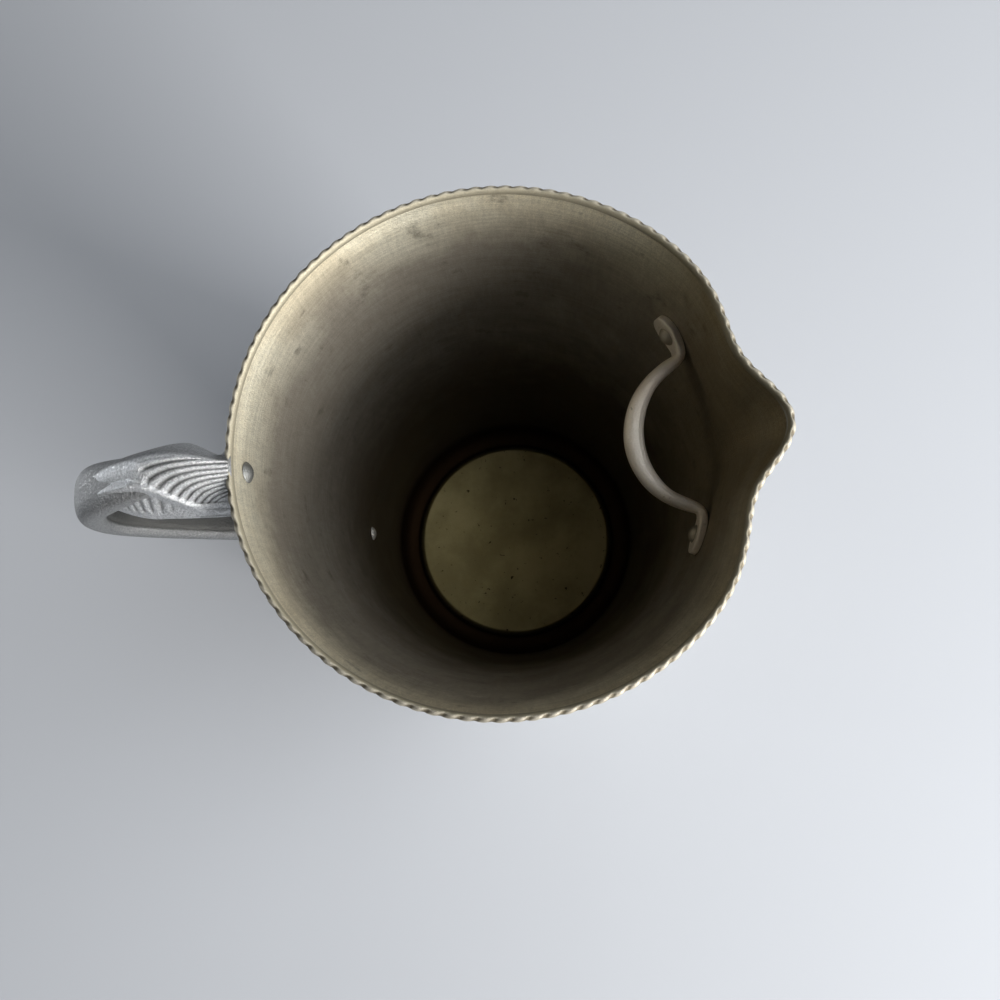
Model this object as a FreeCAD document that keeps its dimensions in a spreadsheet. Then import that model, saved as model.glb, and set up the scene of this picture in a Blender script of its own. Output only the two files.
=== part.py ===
# Water pitcher in spun aluminium: pinched pouring lip, cast leaf handle and riveted ice guard.
# Frame: axis on Z, table at Z = 0, lip towards +X, handle towards -X. Millimetres and degrees.
import FreeCAD, Part
import math
import os
import Sketcher
from types import SimpleNamespace

Vector = FreeCAD.Vector

# Driving dimensions
sizes = {
    "rim_height": 208.0,
    "rim_radius": 69.6,
    "base_radius": 60.3,
    "wall": 1.5,
    "corner_radius": 9.0,
    "disc_radius": 47.7,
    "disc_rise": 2.0,
    "lip_turn": -3.1,
    "lip_depth": 80.0,
    "lip_reach": 12.7,
    "lip_angle": 12.1,
    "pinch_depth": 5.6,
    "pinch_bearing": 10.9,
    "pinch_angle": 17.5,
    "handle_reach": 119.0,
    "handle_bend_drop": 33.0,
    "arm_drop": 2.5,
    "arm_width": 14.0,
    "arm_thickness": 9.0,
    "foot_height": 60.0,
    "foot_length": 25.0,
    "foot_thickness": 5.0,
    "leaf_length": 38.0,
    "leaf_width": 20.5,
    "leaf_rise": 1.6,
    "leaf_sag": 12.0,
    "leaf_edge": 2.4,
    "leaf_lean": 2.5,
    "leaf_gap": 7.0,
    "pad_thickness": 5.0,
    "pad_radius": 7.0,
    "pad_top": 8.0,
    "upper_rivet_drop": 9.0,
    "lower_rivet_rise": 12.0,
    "rivet_shank": 4.2,
    "rivet_head": 5.8,
    "rivet_head_rise": 1.4,
    "guard_bar": 6.2,
    "guard_apex_radius": 41.0,
    "guard_bend": 3.6,
    "guard_bend_angle": 98.0,
    "guard_turn": 4.1,
    "guard_drop": 40.0,
    "guard_lift": 8.0,
    "guard_rivet_bearing": 27.8,
    "guard_foot_length": 13.0,
    "guard_foot_height": 8.0,
    "guard_foot_thickness": 2.4,
    "guard_rivet_shank": 3.0,
    "guard_rivet_head": 5.8,
    "guard_rivet_rise": 1.7,
    "hole_clearance": 0.1,
    "seat_gap": 0.1,
    "cut_overrun": 9.0,
}

# Ratios and counts that keep their value at any size
flare_power_share = 1.6
pull_power_share = 2
front_bearing = 60
front_count = 24
oval_count = 8
small_share = 0.0001

doc = FreeCAD.newDocument("pitcher")
sheet = doc.addObject("Spreadsheet::Sheet", "sizes")
for row, (name, value) in enumerate(sizes.items(), start=1):
    sheet.set(f"A{row}", name)
    sheet.set(f"B{row}", str(value))
    sheet.setAlias(f"B{row}", name)
doc.recompute()
d = SimpleNamespace(**{name: float(sheet.get(name)) for name in sizes})


# Shape of the wall
def wall_radius(bearing, height):
    """Outer radius at a bearing: flared round, plus the pulled lip, less the pinch on each side of it."""
    flare = max(height / d.rim_height, 0) ** flare_power_share
    plain = d.base_radius + (d.rim_radius - d.base_radius) * flare
    pull = max(1 - (d.rim_height - height) / d.lip_depth, 0) ** pull_power_share
    from_lip = bearing - d.lip_turn
    lip = d.lip_reach * math.exp(-(from_lip / d.lip_angle) ** 2)
    left = math.exp(-((from_lip - d.pinch_bearing) / d.pinch_angle) ** 2)
    right = math.exp(-((from_lip + d.pinch_bearing) / d.pinch_angle) ** 2)
    return plain + pull * (lip - d.pinch_depth * (left + right))


def wall_raw(bearing, height):
    """Point of the outer wall."""
    radius = wall_radius(bearing, height)
    angle = math.radians(bearing)
    return Vector(radius * math.cos(angle), radius * math.sin(angle), height)


def wall_normal(bearing, height):
    """Outward unit normal of the wall, from differences along and up the surface."""
    turn = 360 * small_share
    rise = d.rim_height * small_share
    along = wall_raw(bearing + turn, height) - wall_raw(bearing - turn, height)
    up = wall_raw(bearing, height + rise) - wall_raw(bearing, height - rise)
    return unit(along.cross(up))


def wall_level(bearing, height, inset):
    """Point of the wall moved level and inwards by an inset."""
    normal = wall_normal(bearing, height)
    normal.z = 0
    return wall_raw(bearing, height) - unit(normal) * inset


def wall_seat(bearing, height, inset):
    """Point of the wall moved inwards along its true normal."""
    return wall_raw(bearing, height) - wall_normal(bearing, height) * inset


def wall_frame(bearing, height, inset):
    """Placement on the wall: Z straight out of it, Y as upright as it can be."""
    normal = wall_normal(bearing, height)
    side = unit(Vector(0, 0, 1).cross(normal))
    turn = FreeCAD.Rotation(side, normal.cross(side), normal, "ZXY")
    return FreeCAD.Placement(wall_seat(bearing, height, inset), turn)


# Helpers for the document
def unit(vector):
    """Same direction, length one."""
    return vector / vector.Length


def add(kind, name, **links):
    """Document object with its plain properties set."""
    item = doc.addObject(kind, name)
    for key, value in links.items():
        setattr(item, key, value)
    return item


def bind(item, **cells):
    """Ties properties of an object to cells of the sheet."""
    for key, formula in cells.items():
        item.setExpression(key, formula)


def even_marks(count):
    """Marks from 0 to 1, the same for every section of a loft."""
    return [mark / count for mark in range(count + 1)]


def oval_wire(name, centre, side, lift, square_share):
    """Rounded closed section in two halves: an ellipse squared off by a power below one."""
    halves = []
    for hand in (1, -1):
        points = []
        for step in range(oval_count + 1):
            angle = math.pi * step / oval_count
            across = math.copysign(abs(math.cos(angle)) ** square_share, math.cos(angle))
            along = abs(math.sin(angle)) ** square_share if 0 < step < oval_count else 0
            points.append(centre + (side * across + lift * along) * hand)
        curve = Part.BSplineCurve()
        ends = {"InitialTangent": lift * hand, "FinalTangent": lift * -hand}
        curve.interpolate(Points=points, Parameters=even_marks(oval_count), **ends)
        halves.append(curve.toShape())
    return add("Part::Feature", name, Shape=Part.Wire(halves))


def edged_wire(name, *runs):
    """Closed section made of smooth runs that meet at corners."""
    edges = []
    for run in runs:
        curve = Part.BSplineCurve()
        curve.interpolate(Points=run, Parameters=even_marks(len(run) - 1))
        edges.append(curve.toShape())
    return add("Part::Feature", name, Shape=Part.Wire(edges))


def loft(name, sections):
    """Solid skinned smoothly through closed sections."""
    return add("Part::Loft", name, Sections=sections, Solid=True, Ruled=False)


def wall_wire(name, height, inset):
    """Level section of the wall: one smooth run across the lip and one round arc behind it."""
    bearings = [front_bearing * (2 * step / front_count - 1) for step in range(front_count + 1)]
    points = [wall_level(bearing, height, inset) for bearing in bearings]
    back = Part.Arc(points[-1], wall_level(180, height, inset), points[0])
    start_way = back.tangent(back.LastParameter)[0]
    end_way = back.tangent(back.FirstParameter)[0]
    front = Part.BSplineCurve()
    ends = {"InitialTangent": start_way, "FinalTangent": end_way}
    front.interpolate(Points=points, Parameters=even_marks(front_count), **ends)
    return add("Part::Feature", name, Shape=Part.Wire([front.toShape(), back.toShape()]))


corner_turn_shares = (1, 0.86, 0.7, 0.52, 0.34, 0.16, 0)
wall_height_shares = (0.12, 0.28, 0.44, 0.58, 0.69, 0.78, 0.86, 0.93, 1)


def wall_loft(name, bottom, top, inset, corner):
    """Solid inside the wall surface moved inwards by an inset, with a rounded bottom corner."""
    levels = []
    for share in corner_turn_shares:
        angle = share * math.pi / 2
        levels.append((bottom + corner * (1 - math.sin(angle)), inset + corner * (1 - math.cos(angle))))
    for share in wall_height_shares:
        levels.append((bottom + corner + (top - bottom - corner) * share, inset))
    sections = []
    for number, (height, depth) in enumerate(levels):
        sections.append(wall_wire(f"{name}_section_{number}", height, depth))
    return loft(name, sections)


# Body: outer form, cavity and pushed-up bottom that leaves a standing ring
above_rim = d.rim_height + d.cut_overrun
outer_form = wall_loft("outer_form", 0, d.rim_height, 0, d.corner_radius)
inner_form = wall_loft("inner_form", d.wall, above_rim, d.wall, d.corner_radius - d.wall)

raised_disc = add("Part::Cone", "raised_disc")
bind(raised_disc, Radius1="sizes.disc_radius + sizes.disc_rise", Radius2="sizes.disc_radius")
bind(raised_disc, Height="sizes.disc_rise")
raised_disc.setExpression("Placement.Base.z", "sizes.wall")
recess = add("Part::Cone", "recess")
bind(recess, Radius1="sizes.disc_radius + sizes.disc_rise - (sqrt(2) - 1) * sizes.wall")
bind(recess, Radius2="sizes.disc_radius - (sqrt(2) - 1) * sizes.wall", Height="sizes.disc_rise")

cavity = add("Part::Cut", "cavity", Base=inner_form, Tool=raised_disc)
shell = add("Part::Cut", "shell", Base=outer_form, Tool=cavity)
pushed = add("Part::Cut", "pushed_bottom", Base=shell, Tool=recess)

# Rivet places: bearing and height of each
upper_place = (180, d.rim_height - d.upper_rivet_drop)
lower_place = (180, d.foot_height + d.lower_rivet_rise)
guard_middle = d.rim_height - d.guard_drop
left_place = (d.guard_turn + d.guard_rivet_bearing, guard_middle + d.guard_lift)
right_place = (d.guard_turn - d.guard_rivet_bearing, guard_middle - d.guard_lift)


def drill(name, place, shank):
    """Cylinder for a rivet hole, square to the wall and long enough to pass through every layer."""
    tool = add("Part::Cylinder", name)
    bind(tool, Radius=f"sizes.{shank} / 2 + sizes.hole_clearance")
    bind(tool, Height="2 * (sizes.cut_overrun + sizes.pad_thickness)")
    tool.Placement = wall_frame(*place, d.cut_overrun + d.pad_thickness)
    return tool


upper_drill = drill("upper_drill", upper_place, "rivet_shank")
lower_drill = drill("lower_drill", lower_place, "rivet_shank")
left_drill = drill("left_drill", left_place, "guard_rivet_shank")
right_drill = drill("right_drill", right_place, "guard_rivet_shank")
wall_drills = add("Part::MultiFuse", "wall_drills", Shapes=[upper_drill, lower_drill, left_drill, right_drill])
body = add("Part::Cut", "body", Base=pushed, Tool=wall_drills)

# Handle: path of the bar in the plane of the lip
root_height = d.rim_height - d.arm_drop
root = Vector(-wall_radius(180, root_height), 0, root_height)
bend = Vector(-d.handle_reach, 0, d.rim_height - d.handle_bend_drop)
foot_middle = (d.foot_thickness - d.wall) / 2
heel = wall_seat(180, d.foot_height + d.foot_length, -foot_middle)
foot = wall_seat(180, d.foot_height, -foot_middle)
arm_span = root.x - bend.x
drop_span = bend.z - heel.z
root_out_share = 1.5
root_up_share = 0.2
bend_above_share = 1.5
bend_below_share = 0.75
heel_share = 0.8


def cubic(start, start_pull, end, end_pull, s):
    """Point and direction on a cubic between two points with a pull at each."""
    point = start * (2 * s**3 - 3 * s**2 + 1) + end * (3 * s**2 - 2 * s**3)
    point += start_pull * (s**3 - 2 * s**2 + s) + end_pull * (s**3 - s**2)
    way = (end - start) * (6 * s - 6 * s**2)
    way += start_pull * (3 * s**2 - 4 * s + 1) + end_pull * (3 * s**2 - 2 * s)
    return point, unit(way)


def bar_path(share):
    """Point and direction along the handle: 0 at the wall, 1 at the bend, 2 at the heel, 3 at the foot."""
    if share <= 1:
        out = Vector(-arm_span * root_out_share, 0, arm_span * root_up_share)
        down = Vector(0, 0, -arm_span * bend_above_share)
        return cubic(root, out, bend, down, share)
    if share <= 2:
        down = Vector(0, 0, -drop_span * bend_below_share)
        return cubic(bend, down, heel, unit(foot - heel) * drop_span * heel_share, share - 1)
    return heel + (foot - heel) * (share - 2), unit(foot - heel)


def arm_share(length):
    """Share of the path that lies a length along the arm from the wall."""
    share = 0
    travelled = 0
    while travelled < length and share < 1:
        travelled += (bar_path(share + 1 / 200)[0] - bar_path(share)[0]).Length
        share += 1 / 200
    return share


# Bar of the handle: place on the path, width and thickness
side_way = Vector(0, 1, 0)
bar_square_share = 0.75
bar_shares = (
    (-0.1, 0.5, 0.55), (0.1, 0.54, 0.58), (0.35, 0.85, 0.84), (0.6, 1.05, 0.98), (0.8, 1.08, 0.96),
    (1, 1.08, 0.95), (1.25, 1.04, 0.94), (1.5, 0.98, 0.9), (1.75, 0.92, 0.8),
    (2, 0.95, 0.62), (2.5, 1, 0.56), (3, 0.8, 0.5),
)
bar_sections = []
for number, (share, width_share, thickness_share) in enumerate(bar_shares):
    point, way = bar_path(share)
    least = d.foot_thickness + d.wall if share > 1 else 0
    thickness = max(d.arm_thickness * thickness_share, least)
    lift = way.cross(side_way) * thickness / 2
    across = side_way * d.arm_width * width_share / 2
    bar_sections.append(oval_wire(f"bar_section_{number}", point, across, lift, bar_square_share))
bar = loft("bar", bar_sections)

# Leaf draped over the arm, tip at the rim, cut back on its near side to clear the wall
# Each row: place on the leaf's length, near and far half widths, rise, near and far sag
leaf_shares = (
    (0.05, 1.05, 0.24, -0.75, 1, 0.3), (0.12, 1.1, 0.46, -0.1, 1, 0.55), (0.26, 1.08, 0.8, 0.7, 1, 0.85),
    (0.4, 1.06, 1, 1, 1, 1), (0.54, 1, 0.93, 1, 1, 1), (0.68, 0.97, 0.86, 0.9, 0.95, 0.9),
    (0.82, 0.82, 0.78, 0.6, 0.8, 0.8), (0.92, 0.66, 0.62, 0.3, 0.6, 0.6), (1, 0.42, 0.4, 0, 0.3, 0.3),
)
leaf_arch_shares = (-1, -0.72, -0.38, 0, 0.38, 0.72, 1)
leaf_sections = []
for number, (share, near_share, far_share, rise_share, near_sag_share, far_sag_share) in enumerate(leaf_shares):
    point, way = bar_path(arm_share(d.leaf_length * share))
    up = side_way.cross(way)
    crest = d.arm_thickness / 2 + d.leaf_rise * rise_share
    slant = (1 - share) * 2 * d.leaf_gap / d.leaf_width
    over = []
    for arch in leaf_arch_shares:
        width_share, sag_share = (near_share, near_sag_share) if arch < 0 else (far_share, far_sag_share)
        across = d.leaf_width / 2 * width_share * arch + d.leaf_lean * far_share * (1 - arch**2)
        place = point + side_way * across - way * across * slant
        over.append(place + up * (crest - d.leaf_sag * sag_share * arch**2))
    middle_sag = d.leaf_sag * (near_sag_share + far_sag_share) / 4
    under = [over[-1], point + up * (crest - d.leaf_edge - middle_sag), over[0]]
    leaf_sections.append(edged_wire(f"leaf_section_{number}", over, under))
leaf = loft("leaf", leaf_sections)

# Upper pad: rounded plate under the arm, square to its rivet
pad_sketch = add("Sketcher::SketchObject", "pad_sketch", Placement=wall_frame(*upper_place, d.wall))
pad_left = Vector(-d.pad_radius, 0, 0)
pad_right = Vector(d.pad_radius, 0, 0)
pad_top_left = Vector(-d.pad_top / 2, d.upper_rivet_drop - d.arm_drop, 0)
pad_top_right = Vector(d.pad_top / 2, d.upper_rivet_drop - d.arm_drop, 0)
pad_sketch.addGeometry(Part.Arc(pad_left, Vector(0, -d.pad_radius, 0), pad_right), False)
pad_sketch.addGeometry(Part.LineSegment(pad_right, pad_top_right), False)
pad_sketch.addGeometry(Part.LineSegment(pad_top_right, pad_top_left), False)
pad_sketch.addGeometry(Part.LineSegment(pad_top_left, pad_left), False)
for first, last in ((0, 1), (1, 2), (2, 3)):
    pad_sketch.addConstraint(Sketcher.Constraint("Coincident", first, 2, last, 1))
pad_sketch.addConstraint(Sketcher.Constraint("Coincident", 3, 2, 0, 1))
pad_sketch.addConstraint(Sketcher.Constraint("PointOnObject", 0, 1, -1))
pad_sketch.addConstraint(Sketcher.Constraint("PointOnObject", 0, 2, -1))
pad_sketch.addConstraint(Sketcher.Constraint("Coincident", 0, 3, -1, 1))
pad_sketch.addConstraint(Sketcher.Constraint("Symmetric", 2, 1, 2, 2, -2))
pad_sketch.addConstraint(Sketcher.Constraint("Radius", 0, d.pad_radius))
pad_sketch.renameConstraint(8, "round_end")
pad_sketch.addConstraint(Sketcher.Constraint("DistanceY", -1, 1, 1, 2, pad_top_right.y))
pad_sketch.renameConstraint(9, "straight")
pad_sketch.addConstraint(Sketcher.Constraint("DistanceX", 2, 2, 2, 1, d.pad_top))
pad_sketch.renameConstraint(10, "top_width")
pad_sketch.setExpression("Constraints.round_end", "sizes.pad_radius")
pad_sketch.setExpression("Constraints.straight", "sizes.upper_rivet_drop - sizes.arm_drop")
pad_sketch.setExpression("Constraints.top_width", "sizes.pad_top")
pad_plate = add("Part::Extrusion", "pad_plate", Base=pad_sketch, DirMode="Normal", Solid=True)
bind(pad_plate, LengthFwd="sizes.pad_thickness + sizes.wall")
leafed_bar = add("Part::Fuse", "leafed_bar", Base=bar, Tool=leaf)
casting = add("Part::Fuse", "casting", Base=leafed_bar, Tool=pad_plate)

# Rivet holes, spot face for the lower tail, seat against the wall
spot_share = 1.15
lower_spot = add("Part::Cylinder", "lower_spot")
bind(lower_spot, Radius=f"sizes.rivet_head / 2 * {spot_share}", Height="sizes.cut_overrun")
lower_spot.Placement = wall_frame(*lower_place, -d.foot_thickness)
handle_drills = add("Part::MultiFuse", "handle_drills", Shapes=[upper_drill, lower_drill, lower_spot])
drilled = add("Part::Cut", "drilled_casting", Base=casting, Tool=handle_drills)
seat_points = [wall_level(180, above_rim * share, -d.seat_gap) for share in (0,) + wall_height_shares]
seat_line = Part.BSplineCurve()
seat_line.interpolate(Points=seat_points)
seat_foot = Part.makeLine(Vector(0, 0, 0), seat_points[0])
seat_top = Part.makeLine(seat_points[-1], Vector(0, 0, above_rim))
seat_axis = Part.makeLine(Vector(0, 0, above_rim), Vector(0, 0, 0))
seat_wire = Part.Wire([seat_foot, seat_line.toShape(), seat_top, seat_axis])
seat_profile = add("Part::Feature", "seat_profile", Shape=Part.Face(seat_wire))
seat_form = add("Part::Revolution", "seat_form", Source=seat_profile, Axis=Vector(0, 0, 1), Angle=360, Solid=True)
handle = add("Part::Cut", "handle", Base=drilled, Tool=seat_form)

# Ice guard: flat foot, tight bend and tapered bow, then the same back
bow_square_share = 1
guard_foot_shares = ((1, 0.7, 0.35), (0.8, 0.9, 0.82), (0.4, 1, 1.06), (0, 1, 1.1), (-0.45, 1.08, 0.96))
guard_bend_share = -0.72
guard_bow_shares = ((0, 0.62), (0.14, 0.72), (0.32, 0.92), (0.5, 1), (0.68, 0.92), (0.86, 0.72), (1, 0.62))
foot_square_share = 0.45
bend_square_share = 0.85
bend_thin_share = 0.85
foot_depth = d.wall + d.seat_gap + d.guard_foot_thickness / 2


def guard_place(bearing):
    """Point on the guard's layer of the wall at a bearing."""
    height = guard_middle + d.guard_lift * (bearing - d.guard_turn) / d.guard_rivet_bearing
    return wall_seat(bearing, height, foot_depth), wall_normal(bearing, height) * -1


def foot_station(hand, share):
    """Point on a foot, with the ways to its tip, up, and into the vessel; 0 is its rivet, 1 its tip."""
    middle = d.guard_turn + hand * d.guard_rivet_bearing
    bearing = middle + hand * share * math.degrees(d.guard_foot_length / 2 / d.rim_radius)
    here, inward = guard_place(bearing)
    along = unit(guard_place(bearing + hand * 360 * small_share)[0] - here)
    return here, along, unit(along.cross(inward)) * hand, inward


def bend_station(turn):
    """Steps back along the foot and inwards, and the turned thickness way, part of the way round the bend."""
    return d.guard_bend * math.sin(turn), d.guard_bend * (1 - math.cos(turn)), math.cos(turn), math.sin(turn)


def guard_half(hand):
    """Sections of one foot and its bend, tip first, and the point where the bow starts."""
    rows = []
    for share, thick_share, tall_share in guard_foot_shares:
        here, along, up, inward = foot_station(hand, share)
        tall = up * d.guard_foot_height * tall_share / 2
        thick = inward * d.guard_foot_thickness * thick_share / 2
        rows.append((here, tall, thick, foot_square_share))
    here, along, up, inward = foot_station(hand, guard_bend_share)
    size = d.guard_bar * guard_bow_shares[0][1] / 2
    back, rise, straight, turned = bend_station(math.radians(d.guard_bend_angle / 2))
    thick = (inward * straight + along * turned) * size * bend_thin_share
    tall = up * (size + d.guard_foot_height / 2) / 2
    rows.append((here - along * back + inward * rise, tall, thick, bend_square_share))
    back, rise, straight, turned = bend_station(math.radians(d.guard_bend_angle))
    return rows, here - along * back + inward * rise


left_rows, left_end = guard_half(1)
right_rows, right_end = guard_half(-1)
apex_angle = math.radians(d.guard_turn)
apex = Vector(d.guard_apex_radius * math.cos(apex_angle), d.guard_apex_radius * math.sin(apex_angle), guard_middle)
bow = Part.Arc(left_end, apex, right_end)
bow_up = unit((right_end - apex).cross(left_end - apex))
bow_rows = []
for share, size_share in guard_bow_shares:
    mark = bow.FirstParameter + (bow.LastParameter - bow.FirstParameter) * share
    size = d.guard_bar * size_share / 2
    inward = unit(bow.tangent(mark)[0]).cross(bow_up)
    bow_rows.append((bow.value(mark), bow_up * size, inward * size, bow_square_share))
guard_sections = []
for number, row in enumerate(left_rows + bow_rows + right_rows[::-1]):
    guard_sections.append(oval_wire(f"guard_section_{number}", *row))
guard_form = loft("guard_form", guard_sections)
guard_drills = add("Part::MultiFuse", "guard_drills", Shapes=[left_drill, right_drill])
guard = add("Part::Cut", "ice_guard", Base=guard_form, Tool=guard_drills)

# Rivets: domed head inside, shank through the layers, lower dome outside
tail_width_share = 0.9
tail_rise_share = 0.8


def dome_middle(radius, rise):
    """Point half way round a dome, from its rim circle's centre."""
    ball = (radius**2 + rise**2) / (2 * rise)
    across = ball * math.sin(math.asin(radius / ball) / 2)
    return across, math.sqrt(ball**2 - across**2) - (ball - rise)


def rivet(name, place, inset, shank, head, rise, grip, grip_cells):
    """Turned rivet whose origin is the seat of its head; Z runs out through the wall."""
    item = doc.addObject("PartDesign::Body", name)
    plane = [part for part in item.Origin.OriginFeatures if part.Role == "XZ_Plane"][0]
    sketch = item.newObject("Sketcher::SketchObject", f"{name}_profile")
    sketch.AttachmentSupport = [(plane, "")]
    sketch.MapMode = "FlatFace"
    shank_radius = getattr(d, shank) / 2
    head_radius = getattr(d, head) / 2
    head_rise = getattr(d, rise)
    tail_radius = head_radius * tail_width_share
    tail_rise = head_rise * tail_rise_share
    head_across, head_up = dome_middle(head_radius, head_rise)
    tail_across, tail_up = dome_middle(tail_radius, tail_rise)
    head_top = Vector(0, -head_rise, 0)
    head_rim = Vector(head_radius, 0, 0)
    neck = Vector(shank_radius, 0, 0)
    tail_neck = Vector(shank_radius, grip, 0)
    tail_rim = Vector(tail_radius, grip, 0)
    tail_top = Vector(0, grip + tail_rise, 0)
    sketch.addGeometry(Part.Arc(head_top, Vector(head_across, -head_up, 0), head_rim), False)
    sketch.addGeometry(Part.LineSegment(head_rim, neck), False)
    sketch.addGeometry(Part.LineSegment(neck, tail_neck), False)
    sketch.addGeometry(Part.LineSegment(tail_neck, tail_rim), False)
    sketch.addGeometry(Part.Arc(tail_rim, Vector(tail_across, grip + tail_up, 0), tail_top), False)
    sketch.addGeometry(Part.LineSegment(tail_top, head_top), False)
    for edge in range(6):
        sketch.addConstraint(Sketcher.Constraint("Coincident", edge, 2, (edge + 1) % 6, 1))
    sketch.addConstraint(Sketcher.Constraint("Horizontal", 1))
    sketch.addConstraint(Sketcher.Constraint("Vertical", 2))
    sketch.addConstraint(Sketcher.Constraint("Horizontal", 3))
    for edge, end in ((0, 1), (0, 3), (4, 2), (4, 3)):
        sketch.addConstraint(Sketcher.Constraint("PointOnObject", edge, end, -2))
    sketch.addConstraint(Sketcher.Constraint("PointOnObject", 0, 2, -1))
    drives = (
        ("head_radius", ("DistanceX", -1, 1, 0, 2, head_radius), f"sizes.{head} / 2"),
        ("head_rise", ("DistanceY", 0, 1, -1, 1, head_rise), f"sizes.{rise}"),
        ("shank_radius", ("DistanceX", -1, 1, 2, 1, shank_radius), f"sizes.{shank} / 2"),
        ("grip", ("DistanceY", -1, 1, 2, 2, grip), grip_cells),
        ("tail_radius", ("DistanceX", -1, 1, 3, 2, tail_radius), f"sizes.{head} / 2 * {tail_width_share}"),
        ("tail_rise", ("DistanceY", 3, 2, 4, 2, tail_rise), f"sizes.{rise} * {tail_rise_share}"),
    )
    for title, values, formula in drives:
        number = sketch.addConstraint(Sketcher.Constraint(*values))
        sketch.renameConstraint(number, title)
        sketch.setExpression(f"Constraints.{title}", formula)
    turned = item.newObject("PartDesign::Revolution", f"{name}_turned")
    turned.Profile = sketch
    turned.ReferenceAxis = (sketch, ["V_Axis"])
    turned.Angle = 360
    item.Tip = turned
    item.Placement = wall_frame(*place, inset)
    return item


handle_cells = ("rivet_shank", "rivet_head", "rivet_head_rise")
guard_cells = ("guard_rivet_shank", "guard_rivet_head", "guard_rivet_rise")
skin = d.wall + d.seat_gap
skin_cells = "sizes.wall + sizes.seat_gap"
layers = skin + d.guard_foot_thickness + d.seat_gap
layer_cells = f"{skin_cells} + sizes.guard_foot_thickness + 2 * sizes.seat_gap"
upper_grip = (skin + d.pad_thickness, f"{skin_cells} + sizes.pad_thickness")
lower_grip = (skin + d.foot_thickness, f"{skin_cells} + sizes.foot_thickness")
guard_grip = (layers + d.seat_gap, layer_cells)
upper_rivet = rivet("handle_rivet_upper", upper_place, skin, *handle_cells, *upper_grip)
lower_rivet = rivet("handle_rivet_lower", lower_place, skin, *handle_cells, *lower_grip)
left_rivet = rivet("guard_rivet_left", left_place, layers, *guard_cells, *guard_grip)
right_rivet = rivet("guard_rivet_right", right_place, layers, *guard_cells, *guard_grip)

# Tests of every object, then one STEP file for each piece
doc.recompute()
for item in doc.Objects:
    if "Invalid" in item.State or "Error" in item.State:
        raise RuntimeError(f"{item.Name}: {item.State}")
os.makedirs("parts", exist_ok=True)
for piece in (body, handle, guard, upper_rivet, lower_rivet, left_rivet, right_rivet):
    if piece.Shape.isNull() or not piece.Shape.isValid() or len(piece.Shape.Solids) != 1:
        raise RuntimeError(f"{piece.Name}: no valid shape")
    piece.Label = piece.Name
    piece.Shape.exportStep(f"parts/{piece.Name}.step")
    print(piece.Label, len(piece.Shape.Solids), "solid,", round(piece.Shape.Volume / 1000, 2), "cm3")
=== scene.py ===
# %% [markdown]
# # Spun aluminium water pitcher
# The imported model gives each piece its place: the origin lies on the vessel's axis at table height, Z is up, the lip
# points to +X and the handle to -X. The guard and the rivets are kept as they come. The thin wall, its rope rim and
# the cast handle are worked out again as fine surfaces, because their looks lie in detail that a solid leaves out.

# %% Load the frame
import bpy
import numpy as np
from mathutils import Matrix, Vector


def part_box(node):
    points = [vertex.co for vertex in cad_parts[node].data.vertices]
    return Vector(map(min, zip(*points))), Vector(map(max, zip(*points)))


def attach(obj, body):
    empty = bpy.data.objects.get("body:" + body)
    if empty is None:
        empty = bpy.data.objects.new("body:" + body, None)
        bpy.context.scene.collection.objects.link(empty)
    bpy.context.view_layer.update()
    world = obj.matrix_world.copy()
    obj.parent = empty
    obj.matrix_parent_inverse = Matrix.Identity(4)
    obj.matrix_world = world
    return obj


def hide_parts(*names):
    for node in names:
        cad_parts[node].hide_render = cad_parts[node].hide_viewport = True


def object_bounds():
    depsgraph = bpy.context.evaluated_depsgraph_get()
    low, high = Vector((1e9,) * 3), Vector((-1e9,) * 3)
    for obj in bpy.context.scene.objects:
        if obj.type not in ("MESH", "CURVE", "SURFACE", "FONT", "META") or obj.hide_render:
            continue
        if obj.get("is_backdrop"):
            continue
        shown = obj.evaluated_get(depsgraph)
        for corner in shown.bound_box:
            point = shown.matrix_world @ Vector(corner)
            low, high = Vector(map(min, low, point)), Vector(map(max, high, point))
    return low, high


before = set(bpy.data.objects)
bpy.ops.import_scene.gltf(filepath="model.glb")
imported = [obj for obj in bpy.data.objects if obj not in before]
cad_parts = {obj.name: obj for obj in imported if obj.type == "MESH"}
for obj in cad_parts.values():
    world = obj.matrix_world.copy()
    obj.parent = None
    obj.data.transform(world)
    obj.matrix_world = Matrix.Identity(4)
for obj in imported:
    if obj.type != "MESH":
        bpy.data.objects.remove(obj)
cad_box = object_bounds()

mm = 0.001
print("pieces in the frame:", ", ".join(sorted(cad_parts)))

# %% [markdown]
# ## From rings of points to a mesh
# Every new piece here is a row of closed rings: the wall is rings up its profile, the handle is rings along its bar.
# One helper joins such rings with quads. Working on whole arrays keeps it quick, and the sign of the enclosed volume
# tells whether the faces look outwards, so no piece can come out inside out.


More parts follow.
